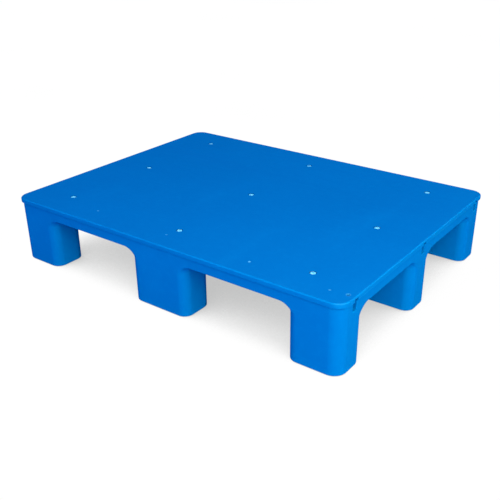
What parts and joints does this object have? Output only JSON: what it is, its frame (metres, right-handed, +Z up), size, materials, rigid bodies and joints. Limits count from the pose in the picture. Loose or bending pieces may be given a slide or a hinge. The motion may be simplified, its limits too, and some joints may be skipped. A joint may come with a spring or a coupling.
{
  "type": "plastic pallet",
  "caption": "Low rectangular pallet with a smooth closed deck, rounded corners and hollow moulded feet that leave fork entries on all sides.",
  "frame": {"origin": "centre of the footprint, on the floor plane under the feet", "axes": "+X along the 800 mm side, +Y along the 600 mm side, +Z up; front is -Y"},
  "size_m": [0.8, 0.6, 0.14],
  "materials": {
    "lid_plastic": "satin blue polyethylene",
    "tray_plastic": "satin blue polyethylene",
    "plug_plastic": "matt blue polyethylene",
    "tube_steel": "galvanised",
    "screw_zinc": "bright zinc plated"
  },
  "bodies": {
    "root": {"deck_lid": "lid_plastic", "base_tray": "tray_plastic", "reinforcement_tube_front": "tube_steel", "reinforcement_tube_centre": "tube_steel", "reinforcement_tube_back": "tube_steel", "tube_plug_left_front": "plug_plastic", "tube_plug_right_front": "plug_plastic", "tube_plug_left_centre": "plug_plastic", "tube_plug_right_centre": "plug_plastic", "tube_plug_left_back": "plug_plastic", "tube_plug_right_back": "plug_plastic", "lid_screw_front_left": "screw_zinc", "lid_screw_front_middle": "screw_zinc", "lid_screw_front_right": "screw_zinc", "lid_screw_centre_left": "screw_zinc", "lid_screw_centre_middle": "screw_zinc", "lid_screw_centre_right": "screw_zinc", "lid_screw_back_left": "screw_zinc", "lid_screw_back_middle": "screw_zinc", "lid_screw_back_right": "screw_zinc"}
  },
  "joints": []
}
